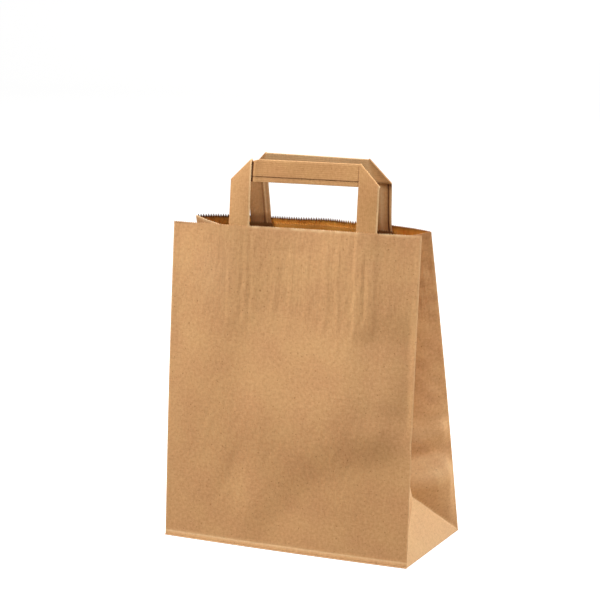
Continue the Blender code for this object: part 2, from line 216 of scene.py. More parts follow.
def gusset_relief(end, across, up):
    """How far a gusset's paper stands out above its triangle.

    Each half bows as a sine, more on the back half. It rises straight from the diagonal crease to a
    ridge 51 mm up, falls back as a bell curve, and has a smaller ridge above that.
    """
    level = up * HEIGHTS["front"]
    from_corner = 1 - np.abs(across)
    crease = HALF_GUSSET * from_corner
    half = np.where(across > 0, 1.0, 0.5) * (1.0 if end > 0 else 0.6)
    ridge = 0.051
    above = level - ridge + 0.0015 * ripples(across * HALF_GUSSET, level, 0.050, 35)
    slope = np.clip((level - crease) / np.maximum(ridge - crease, 0.001), 0, 1)
    size = np.clip((ridge + 0.005 - crease) / 0.034, 0, 1)
    buckle = 0.0066 * size * np.where(above < 0, slope, hill(above, 0, 0.013))
    buckle = buckle + 0.0050 * hill(above, 0.041, 0.009)
    bow = (0.0022 * soft_step(level / 0.10) + 0.0026 * soft_step((level - 0.11) / 0.08)) * np.sin(pi * from_corner)
    fine = 0.00045 * ripples(across * HALF_GUSSET, level, 0.040, 31 + end)
    fine = fine + 0.00010 * ripples(across * HALF_GUSSET, level, 0.013, 33 + end)
    margin = np.minimum(from_corner, np.abs(across)) * HALF_GUSSET
    fine = fine * soft_step(margin / 0.006) * soft_step(level / 0.010)
    return half * buckle * soft_step(margin / 0.010) + fine + half * bow


def spaced(length, step, fine):
    """Places along a length: even ones a step apart, with finer ones beside both ends."""
    even = np.arange(round(length / step) + 1) * step
    fine = np.array(fine)
    return np.unique(np.round(np.concatenate([even, fine, length - fine]), 7))


def grid_faces(columns, rows):
    """Four-cornered faces over a grid whose points are numbered column by column, rows upwards."""
    first = (np.arange(columns - 1)[:, None] * rows + np.arange(rows - 1)).ravel()
    return np.stack([first, first + rows, first + rows + 1, first + 1], axis=1)


def unit(vectors):
    return vectors / np.maximum(np.linalg.norm(vectors, axis=-1, keepdims=True), 1e-12)


def grid_normals(points):
    """Each point's normal: the cross product of its grid's directions along columns and rows."""
    return unit(np.cross(np.gradient(points, axis=0), np.gradient(points, axis=1)))


def saw(distance):
    """The toothed cut's depth as a share: -0.4 at a tooth's tip, 0.6 at the notch half a pitch away."""
    return 0.6 - np.abs(2 * (distance / TOOTH_PITCH % 1) - 1)


def toothed_top(points, distances, depths):
    """Cuts teeth into a grid's top row and gives the extra points halfway between its columns."""
    down = unit(points[:, -2] - points[:, -1])
    top = points[:, -1].copy()
    points[:, -1] += down * (depths * saw(distances))[:, None]
    middle = (distances[1:] + distances[:-1]) / 2
    between = (top[1:] + top[:-1]) / 2
    return between + down[1:] * (depths[1:] * saw(middle))[:, None]


def toothed_faces(columns, rows, start):
    """Three triangles a column for the top strip, up to the extra points that start at that number."""
    left = np.arange(columns - 1) * rows + rows - 2
    right = left + rows
    middle = start + np.arange(columns - 1)
    return np.concatenate([
        np.stack([left, right, middle], axis=1),
        np.stack([right, right + 1, middle], axis=1),
        np.stack([left, middle, left + 1], axis=1),
    ])


def surface(name, points, faces, flat, wear_and_light, weld=1e-6, sharp=35):
    """A mesh from arrays. flat is each point's place on the flat paper, kept as the UV map, and the array
    after it how pale or dark the paper is painted there, for scuffed paper and for painted highlight and
    shade, kept as an attribute. Points that meet are joined."""
    mesh = bpy.data.meshes.new(name)
    lists = [row for block in faces for row in block.tolist()]
    mesh.from_pydata(points.tolist(), [], lists)
    corners = np.empty(len(mesh.loops), np.int32)
    mesh.loops.foreach_get("vertex_index", corners)
    layer = mesh.uv_layers.new(name="flat_paper")
    layer.data.foreach_set("uv", flat[corners].astype(np.float32).ravel())
    painted_tone = mesh.attributes.new("wear_and_light", "FLOAT", "POINT")
    painted_tone.data.foreach_set("value", wear_and_light.astype(np.float32))
    work = bmesh.new()
    work.from_mesh(mesh)
    bmesh.ops.remove_doubles(work, verts=work.verts, dist=weld)
    work.to_mesh(mesh)
    work.free()
    mesh.polygons.foreach_set("use_smooth", np.ones(len(mesh.polygons), bool))
    mesh.set_sharp_from_angle(angle=radians(sharp))
    # A cut edge is square, not rounded
    used = np.empty(len(mesh.loops), np.int32)
    mesh.loops.foreach_get("edge_index", used)
    folded = np.empty(len(mesh.edges), bool)
    mesh.edges.foreach_get("use_edge_sharp", folded)
    mesh.edges.foreach_set("use_edge_sharp", folded | (np.bincount(used, minlength=len(mesh.edges)) == 1))
    piece = bpy.data.objects.new(name, mesh)
    bpy.context.scene.collection.objects.link(piece)
    return piece


def thicken(piece, thickness=PAPER):
    """Gives a sheet its thickness, half to each side."""
    plies = piece.modifiers.new("paper thickness", "SOLIDIFY")
    plies.thickness = thickness
    plies.offset = 0
    plies.use_even_offset = True


def linear(code):
    """An sRGB hex colour as linear light."""
    srgb = np.array([int(code[place:place + 2], 16) for place in (0, 2, 4)]) / 255
    light = np.where(srgb <= 0.04045, srgb / 12.92, ((srgb + 0.055) / 1.055) ** 2.4)
    return (*light.tolist(), 1.0)


def add(tree, kind, settings=None, **links):
    """Adds one node with its settings. A link's name is the socket's, its value a socket or a constant."""
    node = tree.nodes.new(kind)
    for name, value in (settings or {}).items():
        setattr(node, name, value)
    for name, value in links.items():
        socket = node.inputs[int(name[1:])] if name[1:].isdigit() else node.inputs[name.replace("_", " ")]
        if isinstance(value, bpy.types.NodeSocket):
            tree.links.new(value, socket)
        else:
            socket.default_value = value
    return node


def ramp(tree, value, *stops):
    """A colour ramp over value: each stop is a place and a hex colour."""
    node = add(tree, "ShaderNodeValToRGB", None, Fac=value)
    elements = node.color_ramp.elements
    while len(elements) < len(stops):
        elements.new(0.5)
    for element, (place, code) in zip(elements, stops):
        element.position = place
        element.color = linear(code)
    return node.outputs["Color"]


def kraft_paper(name, dark, middle, light, through=0.0, glued=0.0, rib_pitch=0.0011):
    """Brown kraft, machine glazed on one side: long softwood fibres give clouds and specks, and the
    ribs run up the sheet. A point attribute pales it through the fibres, for scuffed folds and for painted
    highlight, and darkens it for painted shade and shadow. A single sheet lets some light through, which
    it turns orange."""
    material = bpy.data.materials.new(name)
    material.use_nodes = True
    tree = material.node_tree
    shader = tree.nodes["Principled BSDF"]
    shader.inputs["Roughness"].default_value = 0.72
    shader.inputs["IOR"].default_value = 1.45
    shader.inputs["Specular IOR Level"].default_value = 0.35
    place = add(tree, "ShaderNodeUVMap", {"uv_map": "flat_paper"}).outputs["UV"]
    # Clouds of 30 mm, flocks of 2.6 mm, and fibres of 1 mm by 4 mm that lie both ways
    clouds = add(tree, "ShaderNodeTexNoise", None, Vector=place, Scale=1 / 0.030, Detail=1.0, Roughness=0.5)
    flocks = add(tree, "ShaderNodeTexNoise", None, Vector=place, Scale=1 / 0.0026, Detail=3.0, Roughness=0.65)
    lengthwise = add(tree, "ShaderNodeMapping", None, Vector=place, Scale=(1.0, 0.26, 1.0)).outputs["Vector"]
    crosswise = add(tree, "ShaderNodeMapping", None, Vector=place, Scale=(0.26, 1.0, 1.0)).outputs["Vector"]
    upright = add(tree, "ShaderNodeTexNoise", None, Vector=lengthwise, Scale=1 / 0.0010, Detail=2.0, Roughness=0.7)
    level = add(tree, "ShaderNodeTexNoise", None, Vector=crosswise, Scale=1 / 0.0010, Detail=2.0, Roughness=0.7)
    flecks = add(tree, "ShaderNodeTexNoise", None, Vector=place, Scale=1 / 0.0021, Detail=1.0, Roughness=0.4)
    # Ribs a little over 1 mm apart, fainter in places
    ribs = add(tree, "ShaderNodeTexWave", {"wave_type": "BANDS", "bands_direction": "X"}, Vector=place,
               Scale=0.314 / rib_pitch, Distortion=0.6, Detail=1.0, Detail_Scale=0.5)
    fibres = add(tree, "ShaderNodeMath", {"operation": "ADD"}, _0=upright.outputs["Fac"], _1=level.outputs["Fac"])
    tone = add(tree, "ShaderNodeMath", {"operation": "MULTIPLY"}, _0=ribs.outputs["Fac"], _1=0.05)
    for part, share in ((clouds.outputs["Fac"], 0.12), (flocks.outputs["Fac"], 0.40), (fibres.outputs[0], 0.14)):
        tone = add(tree, "ShaderNodeMath", {"operation": "MULTIPLY_ADD"}, _0=part, _1=share, _2=tone.outputs["Value"])
    colour = ramp(tree, tone.outputs["Value"], (0.28, dark), (0.43, middle), (0.58, light))
    turn = add(tree, "ShaderNodeMapRange", None, Value=clouds.outputs["Fac"], From_Min=0.35, From_Max=0.65,
               To_Min=0.498, To_Max=0.502)
    tinted = add(tree, "ShaderNodeHueSaturation", None, Hue=turn.outputs["Result"], Color=colour)
    fleck = add(tree, "ShaderNodeMapRange", {"clamp": True}, Value=flecks.outputs["Fac"],
                From_Min=0.70, From_Max=0.76, To_Min=0.0, To_Max=0.55)
    flecked = add(tree, "ShaderNodeMix", {"data_type": "RGBA"}, Factor=fleck.outputs["Result"],
                  _6=tinted.outputs["Color"], _7=linear("8a5a30"))
    # The attribute above 0 mixes in the pale colour, for scuffed fibres and for painted highlight; below 0 it mixes in
    # the dark colour, painted shade and shadow.
    wear_and_light = add(tree, "ShaderNodeAttribute", {"attribute_name": "wear_and_light"})
    scuffed_and_lit = add(tree, "ShaderNodeMath", {"operation": "MULTIPLY", "use_clamp": True}, _0=wear_and_light.outputs["Fac"],
               _1=fibres.outputs["Value"])
    paled = add(tree, "ShaderNodeMix", {"data_type": "RGBA"}, Factor=scuffed_and_lit.outputs["Value"],
                _6=flecked.outputs[2], _7=linear("f0d4a6"))
    painted_shade = add(tree, "ShaderNodeMath", {"operation": "MULTIPLY", "use_clamp": True}, _0=wear_and_light.outputs["Fac"], _1=-1.0)
    paper = add(tree, "ShaderNodeMix", {"data_type": "RGBA"}, Factor=painted_shade.outputs["Value"],
                _6=paled.outputs[2], _7=linear("5e3716")).outputs[2]
    tree.links.new(paper, shader.inputs["Base Color"])
    fine = add(tree, "ShaderNodeBump", None, Strength=0.18, Distance=0.00012, Height=fibres.outputs["Value"])
    cockled = add(tree, "ShaderNodeBump", None, Strength=0.20, Distance=0.0004, Height=flocks.outputs["Fac"],
                  Normal=fine.outputs["Normal"])
    if glued:
        # The glue under the mouth cockles the paper in upright streaks
        height = add(tree, "ShaderNodeSeparateXYZ", None, Vector=place)
        near_mouth = add(tree, "ShaderNodeMapRange", {"clamp": True}, Value=height.outputs["Y"], From_Min=0.165,
                         From_Max=0.210, To_Min=0.0, To_Max=glued)
        streaked = add(tree, "ShaderNodeMapping", None, Vector=place, Scale=(1.0, 0.16, 1.0)).outputs["Vector"]
        streaks = add(tree, "ShaderNodeTexNoise", None, Vector=streaked, Scale=1 / 0.0038, Detail=2.0, Roughness=0.6)
        cockled = add(tree, "ShaderNodeBump", None, Strength=near_mouth.outputs["Result"], Distance=0.0016,
                      Height=streaks.outputs["Fac"], Normal=cockled.outputs["Normal"])
    ribbed = add(tree, "ShaderNodeBump", None, Strength=0.25, Distance=0.00010, Height=ribs.outputs["Fac"],
                 Normal=cockled.outputs["Normal"])
    tree.links.new(ribbed.outputs["Normal"], shader.inputs["Normal"])
    if through:
        orange = add(tree, "ShaderNodeMix", {"data_type": "RGBA", "blend_type": "MULTIPLY"}, Factor=1.0,
                     _6=paper, _7=linear("ffb765")).outputs[2]
        glow = add(tree, "ShaderNodeBsdfTranslucent", None, Color=orange)
        both = add(tree, "ShaderNodeMixShader", None, _0=through, _1=shader.outputs["BSDF"], _2=glow.outputs["BSDF"])
        tree.links.new(both.outputs["Shader"], tree.nodes["Material Output"].inputs["Surface"])
    return material


def dress(piece, material, slot, *nodes):
    """Gives a finished piece its paper, hangs it on the root body and hides the CAD nodes it stands for."""
    piece.data.materials.append(material)
    plies = piece.modifiers.get("paper thickness")
    # The bag's kraft gets a second material on its inner face: a copy painted with the orange glow of light inside the
    # bag
    if plies and material == kraft:
        piece.data.materials.append(inside_glow_kraft)
        plies.material_offset = 1
    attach(piece, "root")
    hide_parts(*nodes)


near_legs = np.arange(31, 71, 2) * TOOTH_PITCH / 2
across_panel = spaced(BAG_WIDTH, TOOTH_PITCH, (0.0005, 0.0011, *near_legs))
across_half = spaced(HALF_GUSSET, TOOTH_PITCH, (0.0005, 0.0011, 0.0033))
across_gusset = np.concatenate([across_half, 2 * HALF_GUSSET - across_half[-2::-1]])
lower_rows = across_half / HEIGHTS["front"]
upper_rows = np.linspace(TRIANGLE_TOP, 1 - 0.0054 / HEIGHTS["front"], 60)[1:]
rows = np.concatenate([lower_rows, upper_rows, 1 - np.array([0.0038, 0.0024, 0.0]) / HEIGHTS["front"]])
faces_of_bag = []
relief = []
for side, end in (("front", 1), ("gusset", 1), ("rear", -1), ("gusset", -1)):
    if side == "gusset":
        across = (across_gusset / HALF_GUSSET - 1)[:, None] * end
        faces_of_bag.append(gusset(end, across, rows[None, :]))
        height = gusset_relief(end, across, rows[None, :])
    else:
        across = (across_panel / HALF_WIDTH - 1)[:, None] * end
        faces_of_bag.append(panel(side, across, rows[None, :]))
        height = panel_relief(side, across, rows[None, :])
    relief.append(np.broadcast_to(height, faces_of_bag[-1].shape[:2]))
lengths = [across_panel, across_gusset, across_panel, across_gusset]
starts = np.concatenate([[0], np.cumsum([part[-1] for part in lengths])])
sheet = []
around = []
distance = []
for points, height, length, start in zip(faces_of_bag, relief, lengths, starts):
    normal = grid_normals(points)
    sheet.append((points + normal * height[..., None])[:-1])
    around.append((start + length)[:-1])
    distance.append(length[:-1])
sheet = np.concatenate(sheet)
around = np.concatenate(around)
distance = np.concatenate(distance)
# A fold is round, not sharp: its line is drawn halfway to its neighbours
folds = np.concatenate([[0], np.cumsum([len(part) - 1 for part in lengths])[:-1]])
middles = folds[[1, 3]] + len(across_half) - 1
count = len(sheet)
lines = np.concatenate([folds, middles])
neighbours = (sheet[(lines + 1) % count] + sheet[(lines - 1) % count]) / 2
# Where the large crease meets the right front fold, the fold is pushed in by 1 mm
sheet[..., 0] -= 0.0010 * hill(around, BAG_WIDTH, 0.004)[:, None] * hill(rows * HEIGHTS["front"], 0.098, 0.008)
above_triangle = (rows > TRIANGLE_TOP)[None, :, None]
blend_in = np.where(np.isin(lines, middles)[:, None, None], 0.4 * above_triangle, 0.4)
sheet[lines] += blend_in * (neighbours - sheet[lines])
sheet = np.concatenate([sheet, sheet[:1]])
around = np.append(around, starts[-1])
distance = np.append(distance, 0.0)
gap_to_fold = np.min(np.abs(around[:, None] - np.append(around[lines], starts[-1])[None, :]), axis=1)
on_rear = (around > starts[2]) & (around < starts[3])
worn_down = 1 - 0.6 * soft_step((starts[2] + 0.050 - around) / 0.010)
extra = toothed_top(sheet, distance, np.where(on_rear, TOOTH_DEPTHS["rear"] * worn_down, TOOTH_DEPTHS["front"]))
middle_around = (around[1:] + around[:-1]) / 2
up_sheet = rows * HEIGHTS["front"]
flat_walls = np.stack(np.broadcast_arrays(around[:, None], up_sheet[None, :]), axis=-1).reshape(-1, 2)
flat_extra = np.stack([middle_around, np.full(len(extra), up_sheet[-1])], axis=-1)
# Tone: pale along the folds, partly scuffed fibres and partly a painted highlight of the rounded fold.
# Painted highlight in patches along the front's lip and at the foot, and painted shade on the back's lip
on_middle = np.isin(np.argmin(np.abs(around[:, None] - around[lines][None, :]), axis=1), (4, 5))
fold_scuff_and_highlight = 0.38 * hill(gap_to_fold, 0, 0.0007)[:, None] * np.where(on_middle[:, None], rows > TRIANGLE_TOP, 1.0)
on_front = around < BAG_WIDTH
on_panel = on_front | on_rear
# The front's lip: painted highlight in patches where the teeth catch the light, and painted shade at its left end. The
# back's lip: painted shade, less towards the bag's right. The left gusset's lip: painted highlight.
pale_parts = window(around, 0.080, 0.162, 0.015) + window(around, 0.187, 0.218, 0.003)
patchy = pale_parts * (0.55 + 0.40 * ripples(around, 0.0, 0.010, 17))
less_dark = 1 - 0.4 * soft_step((starts[2] + 0.100 - around) / 0.030)
lip_tone = np.where(on_front, patchy - 0.50 * hill(around, 0.0, 0.020), -1.1 * less_dark * on_rear)
lip_tone = lip_tone + 0.7 * (around > starts[3])
lip_painted_light = lip_tone[:, None] * hill(up_sheet, up_sheet[-1], np.where(on_rear, 0.0022, 0.0014)[:, None])
# Painted shade on the back beside its left leg near the lip, where the left of the mouth is in shadow
beside_leg = window(around, starts[3] - 0.038, starts[3] - 0.006, 0.006)
lip_painted_light = lip_painted_light - 0.42 * beside_leg[:, None] * soft_step((up_sheet - up_sheet[-1] + 0.018) / 0.010)
# The foot: a painted highlight band 3.3 mm up, over a painted shadow line at the very bottom
foot_highlight_and_shade = 0.5 * hill(up_sheet, 0.0033, 0.0008) - 0.4 * hill(up_sheet, 0, 0.0005)
# The front is painted a little paler beside the left leg near the top, a painted highlight, and darker
# half way up and at the foot on the right, painted shade away from the light on the left
paler = 0.10 * hill(around, 0.040, 0.018)[:, None] * hill(up_sheet, 0.225, 0.025)
right_shade_paint = 0.10 * hill(around, 0.190, 0.040)[:, None] * hill(up_sheet, 0.130, 0.045)
right_shade_paint = right_shade_paint + 0.08 * soft_step((around - 0.110) / 0.080)[:, None] * hill(up_sheet, 0.010, 0.030)
front_tone = (paler - right_shade_paint) * on_front[:, None]
wall_tones = fold_scuff_and_highlight + on_panel[:, None] * foot_highlight_and_shade + lip_painted_light + front_tone
low_share = np.clip(1 - rows / TRIANGLE_TOP, 0, 1)
for start in folds[[1, 3]]:
    across = np.abs(across_gusset / HALF_GUSSET - 1)[:, None]
    inside = soft_step((low_share[None, :] - across) / 0.03 + 0.5)[:-1]
    part = wall_tones[start:start + len(across_gusset) - 1]
    # The triangle at the gusset's foot is painted pale: a painted highlight where it faces up into the light
    part[:] = np.maximum(part, 0.26 * inside)
    # The buckle's upper slope is painted pale, a painted highlight, and the paper above it is darker,
    # painted shade in the fold, and mottled
    inward = (1 - across)[:-1]
    mottled = 0.09 * ripples(inward * HALF_GUSSET, up_sheet[None, :], 0.011, 45) * (up_sheet > HALF_GUSSET)
    painted_tone = (0.15 + 0.12 * inward) * hill(up_sheet, 0.058 + 0.015 * inward, 0.010)
    darker = 0.15 * hill(up_sheet, 0.082 + 0.011 * inward, 0.006) + 0.14 * inward * hill(up_sheet, 0.100, 0.010)
    part += mottled + painted_tone * (1 - inside) - darker
# Painted highlight along the triangle's two creases
in_gusset = np.arange(1, len(across_half) - 1)
for start in folds[[1, 3]]:
    wall_tones[start + in_gusset, in_gusset] = 0.55
    wall_tones[start + len(across_gusset) - 1 - in_gusset, in_gusset] = 0.55
wall_tones = wall_tones.ravel()
column_count, row_count = sheet.shape[:2]
wall_faces = grid_faces(column_count, row_count)
# Along the triangle's creases the faces are cut in two from corner to corner
steps = np.arange(len(across_half) - 1)
rising = np.concatenate([(start + steps) * row_count + steps for start in folds[[1, 3]]])
falling = np.concatenate([(start + len(across_gusset) - 2 - steps) * row_count + steps for start in folds[[1, 3]]])
up_cut = wall_faces[np.isin(wall_faces[:, 0], rising)]
down_cut = wall_faces[np.isin(wall_faces[:, 0], falling)]
cut_faces = np.concatenate([up_cut[:, [0, 1, 2]], up_cut[:, [0, 2, 3]], down_cut[:, [0, 1, 3]], down_cut[:, [1, 2, 3]]])
whole = (wall_faces[:, 2] % row_count != row_count - 1) & ~np.isin(wall_faces[:, 0], np.concatenate([rising, falling]))
wall_faces = wall_faces[whole]
points = [sheet.reshape(-1, 3), extra]
flats = [flat_walls, flat_extra]
# The teeth between the top row's points take the lip's painted highlight and shade
tone_lists = [wall_tones, (lip_tone[1:] + lip_tone[:-1]) / 2]
faces = [wall_faces, cut_faces, toothed_faces(column_count, row_count, column_count * row_count)]
# The floor's inmost ply: straight lines from the front's base fold to the back's
front_foot = sheet[:len(across_panel), 0]
rear_start = len(across_panel) + len(across_gusset) - 2
rear_foot = sheet[rear_start:rear_start + len(across_panel), 0][::-1]
left_foot = sheet[rear_start + len(across_panel) - 1:, 0][::-1]
right_foot = sheet[len(across_panel) - 1:rear_start + 1, 0]
across_floor = (across_gusset / across_gusset[-1])[None, :, None]
floor_points = front_foot[:, None] * (1 - across_floor) + rear_foot[:, None] * across_floor
floor_points[0] = left_foot
floor_points[-1] = right_foot
offset = sum(len(part) for part in points)
floor_faces = grid_faces(len(across_panel), len(across_gusset))[:, ::-1] + offset
flat_floor = np.stack(np.broadcast_arrays(across_panel[:, None], -across_gusset[None, :]), axis=-1)
points.append(floor_points.reshape(-1, 3))
flats.append(flat_floor.reshape(-1, 2))
tone_lists.append(np.zeros(floor_points.shape[0] * floor_points.shape[1]))
faces.append(floor_faces)
kraft = kraft_paper("ribbed brown kraft paper", "b78b5d", "ca9e6e", "d8ae7e", through=0.15, glued=0.35)
# The inner face: a brighter, more orange copy of the kraft, the glow of light inside the bag painted in
inside_glow_kraft = kraft_paper("kraft painted with the glow inside the bag", "d69339", "eaa646", "f4b853", through=0.15, glued=0.9)
bag_sheet = surface("folded_sheet", np.concatenate(points), faces, np.concatenate(flats), np.concatenate(tone_lists),
                    weld=2e-5)
thicken(bag_sheet)
dress(bag_sheet, kraft, "kraft_paper", "bag_body")

# The base flaps and the lap seam
# The sheet's lower ends, folded under in turn and glued: two short flaps inside, two long ones
# below with their corners cut at 45 degrees. The sheet's two side edges lap on the back.
FLAP_LENGTH = 0.067
LAP_WIDTH = 0.016
LAP_FROM_EDGE = 0.030


def long_flap(side, level, name):
    """A long flap: the base fold carried round a half circle, then flat to its free edge."""
    foot = panel(side, across_panel / HALF_WIDTH - 1, 0.0)
    sign = SIGNS[side]
    radius = (FLOOR_LEVEL - level) / 2
    turn = np.linspace(0, pi, 7)
    fold_y = sign * (0.0008 + radius * np.sin(turn))
    fold_z = FLOOR_LEVEL - radius * (1 - np.cos(turn))
    run = np.linspace(0, 1, 25)[1:] ** 0.8
    narrow = np.clip(np.abs(foot[:, 0]) - (HALF_WIDTH - FLAP_LENGTH), 0, None)
    reach = FLAP_LENGTH - narrow * 1.0
    y = np.concatenate([np.broadcast_to(fold_y, (len(foot), 7)), -sign * reach[:, None] * run], axis=1)
    y = y + foot[:, 1:2]
    z = np.concatenate([fold_z, np.full(len(run), level)])
    z = z + 0.00004 * (1 + np.clip(ripples(foot[:, :1], y, 0.030, 41), -1, 1)) * (np.arange(len(z)) > 8)
    x = np.broadcast_to(foot[:, :1], y.shape)
    points = np.stack([x, y, z], axis=-1)
    order = slice(None) if side == "front" else slice(None, None, -1)
    points = points[order]
    flat = np.stack([points[..., 0], -points[..., 1]], axis=-1)
    piece = surface(name, points.reshape(-1, 3), [grid_faces(*points.shape[:2])[:, ::-1]], flat.reshape(-1, 2),
                    np.zeros(points.shape[0] * points.shape[1]))
    thicken(piece)
    dress(piece, kraft, "kraft_paper", "bag_body")


def end_flap(end, name):
    """A short flap inside: flat, from the end fold to its straight free edge."""
    x = end * (HALF_WIDTH - np.linspace(FLAP_LENGTH, 0.0004, 24)[:, None])
    y = np.linspace(-1, 1, 40)[None, :] * (HALF_GUSSET - 0.0006)
    x, y = np.broadcast_arrays(x, y)
    free = np.abs(x) < HALF_WIDTH - FLAP_LENGTH + 0.004
    z = FLOOR_LEVEL + PAPER * 1.05 + 0.0002 * free * (1 + ripples(x, y, 0.04, 43 + end))
    points = np.stack([x, y, z], axis=-1)[::-int(end)]
    piece = surface(name, points.reshape(-1, 3), [grid_faces(24, 40)], points[..., :2].reshape(-1, 2),
                    np.zeros(24 * 40))
    thicken(piece)
    dress(piece, kraft, "kraft_paper", "bag_body")


def lap_seam():
    """The lap: a strip of the back panel, one paper's thickness further out."""
    x = HALF_WIDTH - LAP_FROM_EDGE - np.linspace(0, LAP_WIDTH, 9)[:, None]
    lap_rows = np.linspace(0.0012, 1 - 0.0016, 110)[None, :]
    points = panel("rear", x / HALF_WIDTH, lap_rows)
    outward = -grid_normals(points)
    outward = outward * np.sign(outward[..., 1:2])
    lift = panel_relief("rear", x / HALF_WIDTH, lap_rows) + PAPER * 1.02
    points = points + outward * lift[..., None]
    flat = np.stack(np.broadcast_arrays(x * 1.0, lap_rows * HEIGHTS["rear"]), axis=-1)
    piece = surface("lap_seam", points.reshape(-1, 3), [grid_faces(9, 110)], flat.reshape(-1, 2), np.zeros(9 * 110))
    thicken(piece)
    dress(piece, kraft, "kraft_paper", "bag_body")


long_flap("front", PAPER / 2, "front_long_flap")
long_flap("rear", PAPER * 1.5, "rear_long_flap")
end_flap(-1, "left_end_flap")
end_flap(1, "right_end_flap")
lap_seam()

# The handles
# Each is one run of kraft tape, folded lengthwise to several plies and glued flat. It turns each
# corner on a 45 degree fold, and both its ends are glued inside the mouth.
TAPE_WIDTHS = {"front": 0.0182, "rear": 0.0194}
TAPE = 0.0008
TAPE_SEAMS = {"front": 0.0044, "rear": 0.0032}
HANDLE_SPANS = {"front": 0.1310, "rear": 0.1322}
CLEARANCE = 0.0003
HANDLES = {
    "front": {"rise": 0.0369, "lean": radians(8.6), "tilt": radians(0.2)},
    "rear": {"rise": 0.0358, "lean": radians(5.3), "tilt": radians(0.6)},
}


def panel_inward(side, across, up):
    """The panel's unit normal towards the inside, from its slopes over 0.2 mm steps."""
    step = 0.002
    low = np.minimum(up, 1 - step)
    rise = panel(side, across, low + step) - panel(side, across, low)
    run = panel(side, np.minimum(across + step, 1), low) - panel(side, np.maximum(across - step, -1), low)
    normal = unit(np.cross(rise, run))
    return normal * -np.sign(normal[..., 1:2] * SIGNS[side])


def leg_centres(side):
    return HANDLE_CENTRES[side] - LEG_REACH, HANDLE_CENTRES[side] + LEG_REACH


def tape_point(side, x, rise, depth):
    """A point of a handle, depth in from the panel. Below the lip it lies on the panel. Above it the
    tape passes smoothly into one leaning plane through both legs."""
    x, rise, depth = np.broadcast_arrays(x, rise, depth)
    across = x / HALF_WIDTH
    up = 1 + np.minimum(rise, 0) / HEIGHTS[side]
    from_middle = depth - panel_relief(side, across, up)
    root = panel(side, across, up) + from_middle[..., None] * panel_inward(side, across, up)
    left_x, right_x = leg_centres(side)
    left = panel(side, left_x / HALF_WIDTH, 1.0)
    right = panel(side, right_x / HALF_WIDTH, 1.0)
    straight = left + (right - left) * ((x - left_x) / (right_x - left_x))[..., None]
    straight[..., 1] -= SIGNS[side] * depth
    straight[..., 0] = x
    if side == "front":
        # The left leg's outer edge turns in
        from_inner_edge = np.maximum(left_x + TAPE_WIDTHS[side] / 2 - x, 0)
        straight[..., 1] += 0.16 * from_inner_edge
        straight[..., 0] -= 0.08 * from_inner_edge
    handle = HANDLES[side]
    above = np.maximum(rise, 0)
    free = soft_step(above / handle["rise"])
    lift = np.stack([
        above * sin(handle["tilt"]),
        -SIGNS[side] * above * sin(handle["lean"]),
        above * cos(handle["lean"]) - (x - HANDLE_CENTRES[side]) * sin(handle["tilt"]) * free,
    ], axis=-1)
    return root * (1 - free[..., None]) + straight * free[..., None] + lift


def tape_profile(side):
    """The tape across: two flat faces, round folded edges, and the step of the last ply's free edge.

    Gives the distance in from the outer edge and the height above the middle.
    """
    half = TAPE / 2
    width = TAPE_WIDTHS[side]
    rounding = 0.0005
    seam = TAPE_SEAMS[side]
    turn = np.linspace(-pi / 2, pi / 2, 7)[1:-1]
    flat_stops = np.linspace(rounding, width - rounding, 15)
    ply_stops = np.array([width - rounding, width - 0.0020, width - 0.0036, width - 0.0042, width - 0.0048,
                          width - 0.0060, width - 0.0072, 0.0095, seam + 0.0020, seam + 0.0008,
                          seam + 0.00005])
    low_stops = np.array([seam, seam - 0.0007, seam - 0.0014, rounding])
    stops = np.concatenate([flat_stops, width - rounding + rounding * np.cos(turn), ply_stops, low_stops,
                            rounding - rounding * np.cos(turn)])
    lowered = half - 0.00028
    heights = np.concatenate([np.full(len(flat_stops), -half), half * np.sin(turn), np.full(len(ply_stops), half),
                              [lowered - 0.00010, lowered, lowered, lowered * 0.98],
                              lowered * np.sin(turn[::-1])])
    return stops, heights


def handle_sections(side, end):
    """One leg's sections, from its cut end up to the crease and round it.

    On the fold a section runs along the crease and turns about the line between the two layers.
    """
    stops, heights = tape_profile(side)
    outer_edge = HANDLE_CENTRES[side] + end * HANDLE_SPANS[side] / 2
    radius = (TAPE + CLEARANCE) / 2
    leg_depth = PAPER / 2 + CLEARANCE + TAPE / 2
    crease = HANDLES[side]["rise"] - (radius + TAPE / 2) * sqrt(2)
    levels = np.concatenate([np.linspace(-LEG_LENGTH, 0, 22), np.linspace(0, crease, 9)[1:-1]])
    wander = 0.00012 * ripples(levels[:, None] + 0.2 * end, stops[None, :], 0.030, 51)
    leg = tape_point(side, outer_edge - end * stops[None, :], levels[:, None], leg_depth + heights[None, :] + wander)
    angle = np.linspace(0, pi, 9)[:, None]
    reach = (radius - heights[None, :]) * np.sin(angle) / sqrt(2)
    depth = leg_depth + radius - (radius - heights[None, :]) * np.cos(angle)
    fold = tape_point(side, outer_edge - end * (stops[None, :] - reach), crease + stops[None, :] + reach, depth)
    return np.concatenate([leg, fold])


def along_tape(sections):
    """The distance along the tape of each section, from its middle points."""
    middle = sections[:, 7]
    return np.concatenate([[0], np.cumsum(np.linalg.norm(np.diff(middle, axis=0), axis=1))])


